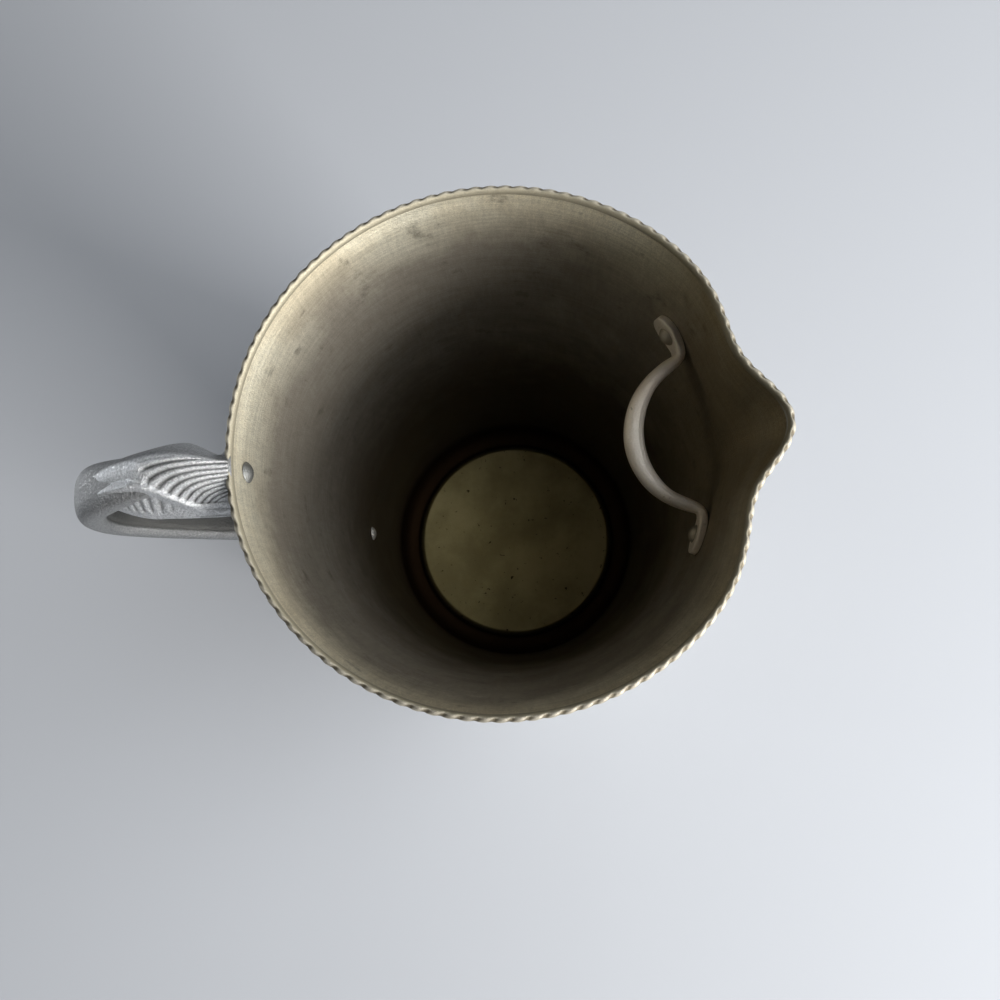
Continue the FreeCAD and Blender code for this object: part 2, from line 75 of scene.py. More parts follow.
# %% Rings to a closed piece
def ring_piece(name, rings, looped=False, marks=None):
    """Closed surface through rings of points, an array of (ring, point, xyz).

    Quads join each ring to the next. A looped surface also joins its last ring to its first; any other is closed
    by a fan of triangles to the middle of each end ring. Marks are values at the points, kept as attributes."""
    count, around = rings.shape[:2]
    index = np.arange(count * around).reshape(count, around)
    lower = index if looped else index[:-1]
    upper = np.roll(index, -1, axis=0) if looped else index[1:]
    quads = np.stack([lower, np.roll(lower, -1, 1), np.roll(upper, -1, 1), upper], -1).reshape(-1, 4)
    points = rings.reshape(-1, 3)
    fans = np.zeros((0, 3), int)
    if not looped:
        points = np.concatenate([points, rings[[0, -1]].mean(1)])
        start = np.stack([np.roll(index[0], -1), index[0], np.full(around, len(points) - 2)], -1)
        end = np.stack([index[-1], np.roll(index[-1], -1), np.full(around, len(points) - 1)], -1)
        fans = np.concatenate([start, end])
    corners = points[np.concatenate([quads[:, :3], quads[:, [0, 2, 3]], fans])]
    volume = np.einsum("ij,ij->", corners[:, 0], np.cross(corners[:, 1], corners[:, 2])) / 6
    if volume < 0:
        quads, fans = quads[:, ::-1], fans[:, ::-1]
    mesh = bpy.data.meshes.new(name)
    mesh.from_pydata(points.tolist(), [], quads.tolist() + fans.tolist())
    mesh.shade_smooth()
    for mark, values in (marks or {}).items():
        flat = values.reshape(-1) if looped else np.concatenate([values.reshape(-1), values[[0, -1]].mean(1)])
        mesh.attributes.new(mark, "FLOAT", "POINT").data.foreach_set("value", flat.astype(np.float32))
    piece = bpy.data.objects.new(name, mesh)
    bpy.context.scene.collection.objects.link(piece)
    print(f"{name}: {len(mesh.polygons)} faces, {abs(volume) / mm**3 / 1000:.1f} cm3")
    return piece


def bell(x):
    """Smooth bump: one at zero, fading to nothing on both sides."""
    return np.exp(-x**2)


def ramp(x, start, end):
    """Smooth step from 0 at start to 1 at end."""
    t = np.clip((x - start) / (end - start), 0, 1)
    return t * t * (3 - 2 * t)


# %% [markdown]
# ## The spun wall
# The vessel is spun from one disc of sheet: a cup that flares a little towards the rim. The pouring lip is then
# pulled out by hand, which pinches the rim in on both sides. A lip like that could be sculpted, but three bell curves
# on the radius, fading downwards, give the same outline and can be measured.

# %% Radius of the wall
rim_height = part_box("body")[1].z
rim_radius = -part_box("body")[0].x
base_radius = 60.3 * mm
wall = 1.5 * mm
flare_power = 1.6
lip_turn = np.radians(-3.1)
lip_depth = 80 * mm
lip_reach = 12.7 * mm
lip_spread = np.radians(12.1)
pinch_depth = 5.6 * mm
pinch_bearing = np.radians(10.9)
pinch_spread = np.radians(17.5)


def wall_radius(bearing, height):
    """Outer radius: a power of the height flares it from base to rim. Near the rim a bell is pulled out for the lip
    and a wider bell on each side is pinched in, both fading with the square of the depth below the rim."""
    flare = np.clip(height / rim_height, 0, None) ** flare_power
    pull = np.clip(1 - (rim_height - height) / lip_depth, 0, None) ** 2
    off = bearing - lip_turn
    pinch = bell((off - pinch_bearing) / pinch_spread) + bell((off + pinch_bearing) / pinch_spread)
    pulled = lip_reach * bell(off / lip_spread) - pinch_depth * pinch
    return base_radius + (rim_radius - base_radius) * flare + pull * pulled


def wall_points(bearing, height, inset):
    """Points of the wall moved level and inwards. A polar curve r(b) has the outward normal (r, -r') / |(r, r')|,
    given along the radius and along the turn."""
    step = 0.0001
    radius = wall_radius(bearing, height)
    slope = (wall_radius(bearing + step, height) - wall_radius(bearing - step, height)) / (2 * step)
    length = np.hypot(radius, slope)
    out = radius - inset * radius / length
    turn = inset * slope / length
    x = out * np.cos(bearing) - turn * np.sin(bearing)
    y = out * np.sin(bearing) + turn * np.cos(bearing)
    return np.stack(np.broadcast_arrays(x, y, height), -1)


print(f"rim: {rim_height / mm:.1f} mm high, {rim_radius / mm:.1f} mm in radius")

# %% [markdown]
# ## The sheet as one closed profile
# A cup could be a surface with a Solidify modifier. Here the profile itself goes round the sheet instead: under the
# bottom, up the outside, over the edge, down the inside and across the raised disc. That puts rows of points just
# where a bend needs them, and leaves each face free to have its own small dents.

# %% Profile of the sheet
corner = 9 * mm
disc_radius = 47.7 * mm
disc_rise = 2 * mm
pole_radius = 0.5 * mm
edge_bend = 0.5 * mm
edge_thinning = 0.6 * mm
quarter = np.radians(np.linspace(0, 90, 12))
edge_turn = np.radians(np.linspace(0, 180, 9))
recess_radius = disc_radius - 0.4 * wall
edge_height = rim_height - 1.6 * mm
bends = np.radians(np.linspace(0, 45, 5))


def level(radius, height):
    """Stations on a level circle of the bottom, as an inset from the base radius."""
    radius = np.asarray(radius, float)
    return base_radius - radius, np.full(radius.shape, height)


cone_low = disc_radius + disc_rise
foot_bend = (base_radius - cone_low - edge_bend * np.sin(bends), wall + edge_bend * (1 - np.cos(bends)))
head_turn = bends[::-1]
head_bend = (
    base_radius - disc_radius + edge_bend * (1 - np.sin(head_turn)),
    wall + disc_rise - edge_bend * (1 - np.cos(head_turn)),
)
inner_corner = corner - wall
edge = wall - edge_thinning
inner_heights = np.linspace(edge_height - 0.5 * mm, corner + 1 * mm, 96)
stations = [
    level(np.linspace(pole_radius, recess_radius, 6), disc_rise),
    level([recess_radius + disc_rise, base_radius - corner], 0),
    (corner * (1 - np.sin(quarter)), corner * (1 - np.cos(quarter))),
    (np.zeros(52), np.linspace(corner + 2 * mm, edge_height - 1 * mm, 52)),
    (edge / 2 * (1 - np.cos(edge_turn)), edge_height + edge / 2 * np.sin(edge_turn)),
    (wall - edge_thinning * ramp(inner_heights, edge_height - 6 * mm, edge_height), inner_heights),
    (wall + inner_corner * (1 - np.sin(quarter[::-1])), wall + inner_corner * (1 - np.cos(quarter[::-1]))),
    foot_bend,
    head_bend,
    level(np.linspace(disc_radius - 1 * mm, pole_radius, 24), wall + disc_rise),
]
inset = np.concatenate([part[0] for part in stations])[:, None]
height = np.concatenate([part[1] for part in stations])[:, None]
inside_from = sum(len(part[0]) for part in stations[:5])
print(f"profile: {len(inset)} stations, the inside starts at number {inside_from}")

# %% [markdown]
# ## Years of use
# A pitcher of soft sheet is never quite true. A few long waves round and up the wall bend its reflections, and small
# knocks stand in the inside face where ice or a spoon hit it. They are kept under half a millimetre: enough for the
# light to find, too little to change the outline.

# %% Waves and knocks, then the wall piece
bearing = np.linspace(-np.pi, np.pi, 400, endpoint=False)[None, :]
wear_share = 0.6
knocks = (
    # bearing in degrees, height, depth, width up and round
    (103, 189 * mm, 0.35 * mm, 1.6 * mm),
    (146, 194 * mm, 0.3 * mm, 1.4 * mm),
    (118, 172 * mm, -0.22 * mm, 5 * mm),
    (-152, 150 * mm, 0.25 * mm, 7 * mm),
    (160, 120 * mm, -0.25 * mm, 9 * mm),
    (-60, 170 * mm, 0.3 * mm, 8 * mm),
    (75, 110 * mm, -0.3 * mm, 10 * mm),
)


def wear(bearing, height):
    """Inward depth of the worn sheet: three slow waves, plus a bell for each knock."""
    waves = 0.10 * mm * np.sin(3 * bearing + 40 * height) + 0.07 * mm * np.sin(7 * bearing - 65 * height + 1)
    waves = waves + 0.05 * mm * np.sin(11 * bearing + 95 * height + 2)
    for place, middle, depth, width in knocks:
        across = (np.remainder(bearing - np.radians(place) + np.pi, 2 * np.pi) - np.pi) * rim_radius
        waves = waves - depth * bell(across / width) * bell((height - middle) / width)
    return waves * ramp(height, 12 * mm, 40 * mm) * ramp(rim_height - height, 1 * mm, 8 * mm)


inner_face = (np.arange(len(inset)) >= inside_from)[:, None]
sheet_rings = wall_points(bearing, height, inset + wear(bearing, height) * wear_share)
inside_mark = np.broadcast_to(inner_face.astype(float), sheet_rings.shape[:2])
ring_radius = np.hypot(sheet_rings[..., 0], sheet_rings[..., 1])
# Painted shade: a mark for the trough round the foot of the disc, painted near black in the finish.
in_corner = ramp(ring_radius, disc_radius - 0.2 * mm, disc_radius + 1 * mm) * ramp(-height, -16 * mm, -6 * mm)
corner_shade_mark = inside_mark * in_corner
body = ring_piece("pitcher_wall", sheet_rings, marks={"inside": inside_mark, "corner_shade": corner_shade_mark})

# %% [markdown]
# ## The rope rim
# The edge is rolled between two toothed wheels, which leave a row of slanted beads like a twisted rope. A torus with
# a bump map would keep a smooth outline, and the photograph shows a scalloped one. So the beads are geometry: a tube
# follows the edge, and its radius swells once for each bead. The beads lean because the swell's phase also turns
# round the tube. The wheels press from outside, so the grooves fade towards the inner face. Spacing the beads by
# length, not by angle, keeps them equal across the lip.

# %% Rope rim
bead_count = 107
bead_steps = 14
rope_half_width = 1.0 * mm
rope_half_height = 1.6 * mm
rope_shift = 0.6 * mm
bead_depth = 0.3
bead_roundness = 1.3
fine_bearing = np.linspace(-np.pi, np.pi, 7201)
edge_line = wall_points(fine_bearing, rim_height, wall / 2)
edge_length = np.concatenate([[0], np.cumsum(np.linalg.norm(np.diff(edge_line, axis=0), axis=1))])
even_length = np.linspace(0, edge_length[-1], bead_count * bead_steps, endpoint=False)
rope_bearing = np.interp(even_length, edge_length, fine_bearing)[:, None]
rope_turn = np.linspace(0, 2 * np.pi, 24, endpoint=False)[None, :]
rope_phase = bead_count * (even_length / edge_length[-1])[:, None] - rope_turn / (2 * np.pi)


def rope_swell(phase):
    """Bead profile: a rectified cosine, round on top with one soft groove in each phase."""
    return np.abs(np.cos(np.pi * phase)) ** bead_roundness


outer_side = ramp(np.cos(rope_turn), -0.6, 0.15)
groove = (1 - rope_swell(rope_phase)) * outer_side
fullness = 1 - bead_depth * groove
rope_middle = rim_height - rope_half_height
across = rope_half_width * fullness * np.cos(rope_turn)
upward = rope_half_height * fullness * np.sin(rope_turn)
rope_rings = wall_points(rope_bearing, rim_height, wall / 2 - rope_shift - across)
rope_rings[..., 2] = rope_middle + upward
rope_inside = np.broadcast_to(1 - outer_side, groove.shape)
rope = ring_piece("rope_rim", rope_rings, looped=True, marks={"groove": groove, "inside": rope_inside})
print(f"bead pitch: {edge_length[-1] / bead_count / mm:.2f} mm")

# %% [markdown]
# ## The handle's line
# The handle is one casting: an arm leaves the wall just under the rim, bends over and comes back down as a grip to a
# flat foot. A curve object with a bevel would give it one section all along. Here the line is three smooth cubic
# pieces, so the section can be thick at the grip and thin at both seats.

# %% Path of the handle
handle_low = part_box("handle")[0]
arm_drop = 2.5 * mm
arm_width = 14 * mm
arm_thickness = 9 * mm
bend_reach = 119 * mm
bend_height = 175 * mm
foot_height = 60 * mm
foot_length = 25 * mm
foot_thickness = 5 * mm
back = np.pi


def wall_side(height):
    """Point of the outer wall in the handle's plane."""
    return np.array([-float(wall_radius(back, height)), 0, height])


def cubic(start, start_pull, end, end_pull, s):
    """Cubic from start to end that leaves along start_pull and arrives along end_pull."""
    s = s[:, None]
    ends = start * (2 * s**3 - 3 * s**2 + 1) + end * (3 * s**2 - 2 * s**3)
    return ends + start_pull * (s**3 - 2 * s**2 + s) + end_pull * (s**3 - s**2)


root = wall_side(rim_height - arm_drop)
bend = np.array([-bend_reach, 0, bend_height])
foot_offset = np.array([-(foot_thickness - wall) / 2, 0, 0])
heel = wall_side(foot_height + foot_length) + foot_offset
foot = wall_side(foot_height) + foot_offset
arm_span = root[0] - bend[0]
drop_span = bend[2] - heel[2]
down = np.array([0, 0, -1])
foot_way = (foot - heel) / np.linalg.norm(foot - heel)
side_way = np.array([0, 1.0, 0])


def bar_path(share):
    """Point and direction along the bar: share 0 at the wall, 1 at the bend, 2 at the heel, 3 at the foot's end."""
    out = np.array([-1.5, 0, 0.2]) * arm_span

    def place(share):
        arm = cubic(root, out, bend, down * 1.5 * arm_span, share)
        grip = cubic(bend, down * 0.75 * drop_span, heel, foot_way * 0.8 * drop_span, share - 1)
        seat = heel + (foot - heel) * (share - 2)[:, None]
        return np.where((share < 1)[:, None], arm, np.where((share < 2)[:, None], grip, seat))

    way = place(share + 0.0005) - place(share - 0.0005)
    return place(share), way / np.linalg.norm(way, axis=1, keepdims=True)


print(f"handle: {-handle_low.x / mm:.0f} mm out, arm span {arm_span / mm:.1f} mm")

# %% [markdown]
# ## The bar of the handle
# The section is an ellipse squared off by a power below one, as a mould with a little draft leaves it. The grip has
# a shallow line along each edge of its inner face. Where the foot lies on the vessel, points are pushed out to the
# wall, which seats it without a gap.

# %% Handle bar
bar_places = (-0.008, 0.1, 0.35, 0.6, 0.8, 1, 1.25, 1.5, 1.75, 2, 2.5, 3)
bar_widths = (0.5, 0.54, 0.85, 1.05, 1.08, 1.08, 1.04, 0.98, 0.92, 0.95, 1, 0.8)
bar_thicknesses = (0.55, 0.58, 0.84, 0.98, 0.96, 0.95, 0.94, 0.9, 0.8, 0.72, 0.72, 0.72)
bar_square = 0.75
seat_gap = 0.1 * mm


def eased(x, places, values):
    """Values between table places, eased by averaging the straight interpolation over a short stretch."""
    shifts = np.linspace(-0.08, 0.08, 9)
    return np.mean([np.interp(x + shift, places, values) for shift in shifts], axis=0)


bar_share = np.linspace(bar_places[0], bar_places[-1], 320)
bar_point, bar_way = bar_path(bar_share)
bar_up = np.cross(side_way, bar_way)
bar_turn = np.linspace(0, 2 * np.pi, 96, endpoint=False)[None, :]
power_cos = np.sign(np.cos(bar_turn)) * np.abs(np.cos(bar_turn)) ** bar_square
power_sin = np.sign(np.sin(bar_turn)) * np.abs(np.sin(bar_turn)) ** bar_square
half_width = eased(bar_share, bar_places, bar_widths)[:, None] * arm_width / 2
half_thickness = eased(bar_share, bar_places, bar_thicknesses)[:, None] * arm_thickness / 2
end_round = np.sqrt(1 - ramp(bar_share, 2.9, 3.0) * 0.5)[:, None]
side_line = bell((power_cos - 0.62) / 0.06) + bell((power_cos + 0.62) / 0.06)
on_grip = (ramp(bar_share, 0.5, 0.8) * ramp(-bar_share, -1.95, -1.7))[:, None]
inner_line = side_line * (power_sin < 0) * on_grip
bar_across = half_width * end_round * power_cos
bar_lift = half_thickness * power_sin * (1 - 0.13 * inner_line)
bar_rings = bar_point[:, None] + bar_across[..., None] * side_way + bar_lift[..., None] * bar_up[:, None]
bar_radius = np.hypot(bar_rings[..., 0], bar_rings[..., 1])
least_radius = wall_radius(back, bar_rings[..., 2]) + seat_gap
on_foot = (bar_share > 1.5)[:, None]
push = np.where(on_foot, np.maximum(1, least_radius / bar_radius), 1)
bar_rings[..., :2] *= push[..., None]
# Painted shade: the whole bar is darkened as if in the leaf's shade, the grip's inner face more; its shallow lines are
# darker still.
shaded_inner_face = ramp(-power_sin, 0.1, 0.5) * ramp(0.66 - np.abs(power_cos), 0, 0.1) * on_grip
bar_shade_and_grooves = 0.54 + 0.3 * shaded_inner_face + 0.15 * inner_line
bar = ring_piece("handle_bar", bar_rings, marks={"recess": bar_shade_and_grooves})

# %% [markdown]
# ## The leaf
# A long leaf lies over the arm with its tip at the rim. Its near half hangs down like a skirt and its far half rolls
# over into the shade. It could be sculpted from a plane. Here its outline and its sag are short tables along its
# length, eased between their places, so the leaf can be compared with the photograph one station at a time.

# %% Outline of the leaf
leaf_length = 38 * mm
leaf_width = 20.5 * mm
leaf_rise = 1.6 * mm
leaf_sag = 12 * mm
leaf_lean = 2.5 * mm
leaf_edge = 2.2 * mm
leaf_places = (0, 0.12, 0.26, 0.4, 0.54, 0.68, 0.82, 0.92, 1)
leaf_near = (1.05, 1.1, 1.08, 1.06, 1, 0.97, 0.82, 0.66, 0.42)
leaf_far = (0.24, 0.46, 0.8, 1, 0.93, 0.86, 0.78, 0.62, 0.4)
leaf_rises = (-0.8, -0.1, 0.7, 1, 1, 0.9, 0.6, 0.3, 0)
leaf_near_sags = (1, 1, 1, 1, 1, 0.95, 0.8, 0.6, 0.3)
leaf_far_sags = (0.3, 0.55, 0.85, 1, 1, 0.9, 0.8, 0.6, 0.3)
leaf_setback = 0.8 * mm
over_count = 190
under_count = 40
fine_share = np.linspace(0, 1, 2001)
fine_arm = bar_path(fine_share)[0]
fine_run = np.concatenate([[0], np.cumsum(np.linalg.norm(np.diff(fine_arm, axis=0), axis=1))])
arch = np.linspace(-1, 1, over_count)[None, :]
leaf_start = leaf_setback * ramp(-arch, 0.45, 0.95) + 2 * mm * ramp(arch, 0.2, 1)
leaf_along = leaf_start + (leaf_length - leaf_start) * np.linspace(0, 1, 280)[:, None]
near_side = arch < 0


def leaf_table(values):
    """A table's value at each point's place along the leaf, eased."""
    return eased(leaf_along / leaf_length, leaf_places, values)


leaf_half = np.where(near_side, leaf_table(leaf_near), leaf_table(leaf_far)) * leaf_width / 2
near_drop = leaf_table(leaf_near_sags) * arch**2
far_drop = leaf_table(leaf_far_sags) * np.abs(arch) ** 1.6
leaf_drop = np.where(near_side, near_drop, far_drop)
leaf_across = leaf_half * arch + leaf_lean * leaf_table(leaf_far) * (1 - arch**2)
leaf_height = arm_thickness / 2 + leaf_rise * leaf_table(leaf_rises) - leaf_sag * leaf_drop
print(f"leaf: {leaf_length / mm:.0f} mm long, {np.ptp(leaf_across) / mm:.1f} mm wide")

# %% [markdown]
# ## The leaf's veins
# The veins spring from a slanting midrib and sweep towards the tip, and short strokes hatch the half below it. They
# could be carved with a brush, but as one formula they stay evenly cut: a vein lies wherever a phase, made of the
# place where the vein starts, passes a whole number. The same masks cut the surface and darken it.

# %% Veins of the leaf
rib_low = -9.3 * mm
rib_high = -3.0 * mm
rib_from = 8 * mm
rib_to = 25 * mm
vein_depth = 0.5 * mm
rib_height = 1.4 * mm
stem_from = 21.5 * mm
vein_foot = -11.3 * mm
vein_slope = 0.42
vein_climb = 3.3 * mm
vein_reach = 5 * mm
vein_ratio = 0.15
stroke_pitch = 2.6 * mm
line_pitch = 1.35 * mm
rib_across = rib_low + (rib_high - rib_low) * ramp(leaf_along, rib_from, rib_to)
above_rib = leaf_across - rib_across


def vein_source(along, across):
    """Place on the leaf's length where the vein through a point starts. A vein that starts at s climbs as
    foot + slope * s + climb * (1 - exp(-(s - along) / reach)); Newton's steps solve that for s."""
    s = along + np.zeros_like(across)
    for _ in range(12):
        fall = np.exp(np.clip((along - s) / vein_reach, -30, 3))
        error = vein_foot + vein_slope * s + vein_climb * (1 - fall) - across
        s = s - error / (vein_slope + vein_climb / vein_reach * fall)
    return s


def cut(phase, width):
    """Groove mask: a bell across each whole number of the phase."""
    return bell((phase - np.round(phase)) / width)


source = np.clip(vein_source(leaf_along, leaf_across), 2 * mm, 60 * mm)
vein_phase = np.log(source / (15.3 * mm)) / vein_ratio
upper_half = ramp(above_rib, 0.7 * mm, 1.6 * mm) * ramp(-arch, -0.14, 0.0)
upper_half = upper_half * ramp(-leaf_along, -stem_from, -18.5 * mm)
veins = cut(vein_phase, 0.24) * upper_half * ramp(source, 4.5 * mm, 6.5 * mm)
below = np.clip(-above_rib, 0, None)
strokes = cut((leaf_along - 0.55 * below) / stroke_pitch, 0.26)
strokes = strokes * ramp(below, 0.9 * mm, 1.9 * mm) * ramp(leaf_along, 15 * mm, 18 * mm)
strokes = strokes * ramp(1 + arch, 0.06, 0.16)
lines = cut(leaf_across / line_pitch, 0.18) * ramp(-leaf_along, -14 * mm, -10 * mm)
lines = lines * ramp(-leaf_across, 6.8 * mm, 7.6 * mm)
rib = bell(above_rib / (1.0 * mm)) * ramp(leaf_along, 7 * mm, 13 * mm)
stem_step = ramp(leaf_along, stem_from - 1 * mm, 26 * mm) * ramp(above_rib, 1.0 * mm, 2.5 * mm)
stem_step = stem_step * ramp(-arch, -0.3, 0.0)
relief = rib_height * rib - vein_depth * (veins + 0.9 * strokes + 0.5 * lines) - 0.8 * mm * stem_step
# Painted shade on the far half, which rolls away from the light, and a painted highlight on the midrib; the veins,
# strokes and lines are darker.
leaf_recess = np.clip(0.6 * veins + 0.5 * strokes + 0.4 * lines + 0.55 * ramp(arch, 0.02, 0.3) - 0.3 * rib, 0, 1)
print(f"veins: {np.ptp(np.round(vein_phase[upper_half > 0.5])):.0f} across the upper half")

# %% [markdown]
# ## The leaf as a piece
# A casting has a back as well as a face. A Solidify modifier would thicken the leaf evenly, and its rim would be as
# thick as its middle. So each ring goes over the face and returns underneath, nearer to the face at the margins.

# %% Leaf piece
leaf_share = np.interp(leaf_along, fine_run, fine_share)
leaf_point, leaf_way = bar_path(leaf_share.reshape(-1))
leaf_up = np.cross(side_way, leaf_way).reshape(leaf_share.shape + (3,))
leaf_point = leaf_point.reshape(leaf_up.shape)
over = leaf_point + leaf_across[..., None] * side_way + (leaf_height + relief)[..., None] * leaf_up
slack = np.sin(np.pi * np.linspace(0, 1, over_count))[None, :] ** 0.6
under = over - (leaf_edge * (0.25 + slack))[..., None] * leaf_up
under = under[:, np.linspace(over_count - 1, 0, under_count).astype(int)]
leaf_rings = np.concatenate([over, under], axis=1)
# Painted shade: the underside is marked fully dark.
leaf_marks = np.concatenate([leaf_recess, np.ones((len(over), under_count))], axis=1)
leaf = ring_piece("handle_leaf", leaf_rings, marks={"recess": leaf_marks})

# %% [markdown]
# ## The upper pad
# Under the arm the casting spreads into a small shield that the upper rivet pulls against the wall. It is a plate
# with rounded edges, so its rings are one outline, drawn in a little at the face.

# %% Upper pad
rivet_height = rim_height - 9 * mm
pad_radius = 7 * mm
pad_thickness = 5 * mm
pad_angle = np.linspace(0, 2 * np.pi, 72, endpoint=False)
pad_rise = rim_height - arm_drop - rivet_height
pad_y = pad_radius * np.cos(pad_angle) * np.where(np.sin(pad_angle) > 0, 1 - 0.42 * np.sin(pad_angle), 1)
pad_z = np.where(np.sin(pad_angle) > 0, pad_rise, pad_radius) * np.sin(pad_angle)
pad_depths = np.array([0, 0.6, 0.85, 0.95, 1]) * pad_thickness
pad_scales = np.array([1, 1, 0.97, 0.92, 0.84])
pad_zs = rivet_height + pad_scales[:, None] * pad_z
pad_ys = pad_scales[:, None] * pad_y
pad_xs = -np.sqrt((wall_radius(back, pad_zs) + seat_gap) ** 2 - pad_ys**2) - pad_depths[:, None]
# Painted shade: the pad under the arm is marked part dark.
pad = ring_piece("handle_pad", np.stack([pad_xs, pad_ys, pad_zs], -1), marks={"recess": np.full(pad_zs.shape, 0.4)})

# %% [markdown]
# ## Shared metal effects
# All the pieces are aluminium, worn in the same house: fine grain, cloudy stains, streaks, pits, spun rings and blots.
# Each material could have its own textures. One node group works them out as masks from object coordinates instead,
# and each finish below mixes the masks with its own strength.


# %% Node helpers and the worn metal group
def noise(tree, scale, detail, roughness, where):
    """Noise texture at a scale, in cycles per metre, read at a vector socket."""
    node = tree.nodes.new("ShaderNodeTexNoise")
    node.inputs["Scale"].default_value = scale
    node.inputs["Detail"].default_value = detail
    node.inputs["Roughness"].default_value = roughness
    tree.links.new(where, node.inputs["Vector"])
    return node.outputs["Fac"]


def stretched(tree, where, scale):
    """Vector socket scaled apart along X, Y and Z, which draws a noise out into lines."""
    node = tree.nodes.new("ShaderNodeMapping")
    node.inputs["Scale"].default_value = scale
    tree.links.new(where, node.inputs["Vector"])
    return node.outputs["Vector"]


def steps(tree, value, low, high, to_low=0.0, to_high=1.0):
    """Map Range node: a value socket's stretch from low to high becomes to_low to to_high."""
    node = tree.nodes.new("ShaderNodeMapRange")
    node.interpolation_type = "SMOOTHSTEP"
    for name, number in zip(("From Min", "From Max", "To Min", "To Max"), (low, high, to_low, to_high)):
        node.inputs[name].default_value = number
    tree.links.new(value, node.inputs["Value"])
    return node.outputs["Result"]


worn = bpy.data.node_groups.new("worn_metal", "ShaderNodeTree")
worn.interface.new_socket("Vector", in_out="INPUT", socket_type="NodeSocketVector")
place = worn.nodes.new("NodeGroupInput").outputs["Vector"]
streaked = stretched(worn, place, (900, 900, 160))
spun = stretched(worn, place, (45, 45, 1100))
worn_masks = (
    # mask, where it is read, scale, detail, roughness, noise at which it starts and is full
    ("Grain", place, 2600, 3, 0.6, 0.3, 0.7),
    ("Cloud", place, 34, 5, 0.62, 0.34, 0.68),
    ("Streak", streaked, 1, 3, 0.6, 0.3, 0.7),
    ("Pits", place, 420, 2, 0.55, 0.68, 0.76),
    ("Rings", spun, 1, 3, 0.6, 0.3, 0.7),
    ("Blots", place, 130, 4, 0.6, 0.6, 0.74),
)
for title, *_ in worn_masks:
    worn.interface.new_socket(title, in_out="OUTPUT", socket_type="NodeSocketFloat")
leaving = worn.nodes.new("NodeGroupOutput")
for title, where, scale, detail, roughness, low, high in worn_masks:
    mask = steps(worn, noise(worn, scale, detail, roughness, where), low, high)
    worn.links.new(mask, leaving.inputs[title])
print("worn_metal group:", [socket.name for socket in worn.interface.items_tree])

# %% [markdown]
# ## Finishes
# Each finish is a Principled metal. Its colour and roughness come from the worn masks, and a Bump node adds the grain.
# Where a piece has a mark of its own, such as the rope's grooves, the mark paints shade into the colour there and the
# rest stays pale.


# %% Building a finish
def colour_socket(sockets, name):
    """The one of a Mix node's sockets of that name that carries a colour."""
    return next(socket for socket in sockets if socket.name == name and socket.type == "RGBA")


def blend(tree, mask, first, second):
    """Colour mix by a mask socket. Each end is a colour or another colour socket."""
    node = tree.nodes.new("ShaderNodeMix")
    node.data_type = "RGBA"
    tree.links.new(mask, node.inputs["Factor"])
    for name, value in (("A", first), ("B", second)):
        if isinstance(value, tuple):
            colour_socket(node.inputs, name).default_value = (*value, 1)
        else:
            tree.links.new(value, colour_socket(node.inputs, name))
    return colour_socket(node.outputs, "Result")


def combine(tree, how, *values):
    """Math node on its values, each a number or a socket."""
    node = tree.nodes.new("ShaderNodeMath")
    node.operation = how
    for socket, value in zip(node.inputs, values):
        if isinstance(value, (int, float)):
            socket.default_value = value
        else:
            tree.links.new(value, socket)
    return node.outputs[0]


def weighed(tree, start, *pairs):
    """A start value plus each mask socket times its own weight."""
    total = start
    for mask, weight in pairs:
        total = combine(tree, "MULTIPLY_ADD", mask, weight, total)
    return total


def start_finish(name):
    """New metal with its Principled shader, the worn masks and the object coordinates they are read at."""
    material = bpy.data.materials.new(name)
    material.use_nodes = True
    tree = material.node_tree
    shader = tree.nodes["Principled BSDF"]
    shader.inputs["Metallic"].default_value = 1
    masks = tree.nodes.new("ShaderNodeGroup")
    masks.node_tree = worn
    where = tree.nodes.new("ShaderNodeTexCoord").outputs["Object"]
    tree.links.new(where, masks.inputs["Vector"])
    return material, tree, shader, masks.outputs, where


def attribute(tree, name):
    """Value of a piece's own mark."""
    node = tree.nodes.new("ShaderNodeAttribute")
    node.attribute_name = name
    return node.outputs["Fac"]


def finish_surface(tree, shader, colour, roughness, height, distance):
    """Joins colour, roughness and bump height to the shader."""
    bump = tree.nodes.new("ShaderNodeBump")
    bump.inputs["Distance"].default_value = distance
    tree.links.new(height, bump.inputs["Height"])
    tree.links.new(bump.outputs["Normal"], shader.inputs["Normal"])
    tree.links.new(colour, shader.inputs["Base Color"])
    tree.links.new(roughness, shader.inputs["Roughness"])
    print(f"finish of {len(tree.nodes)} nodes, bump {distance / mm:.2f} mm")


# %% [markdown]
# ### Spun sheet
# Outside, the sheet is plain pale metal. Inside, it is warm and olive, with dark pits on the disc. A band of painted
# light lies under the rim. Painted shade darkens the wall towards the bottom and in the trough round the disc, and it
# makes the inside of the lip browner and darker than the rest of the wall.

# %% Spun sheet
sheet_metal, tree, shader, masks, where = start_finish("spun_sheet")
inside = attribute(tree, "inside")
corner_shade = attribute(tree, "corner_shade")
split = tree.nodes.new("ShaderNodeSeparateXYZ")
tree.links.new(where, split.inputs["Vector"])
outside_colour = blend(tree, masks["Cloud"], (0.47, 0.465, 0.445), (0.54, 0.535, 0.515))
# Painted light and shade: a lighter band under the rim, darkening to near black towards the bottom.
depth_at = weighed(tree, split.outputs["Z"], (masks["Cloud"], 0.012))
rim_light_tone = blend(tree, masks["Cloud"], (0.92, 0.84, 0.64), (1.0, 0.96, 0.80))
middle_wall_tone = blend(tree, masks["Cloud"], (0.40, 0.365, 0.31), (0.52, 0.48, 0.41))
inside_colour = blend(tree, steps(tree, depth_at, 0.217, 0.182), rim_light_tone, middle_wall_tone)
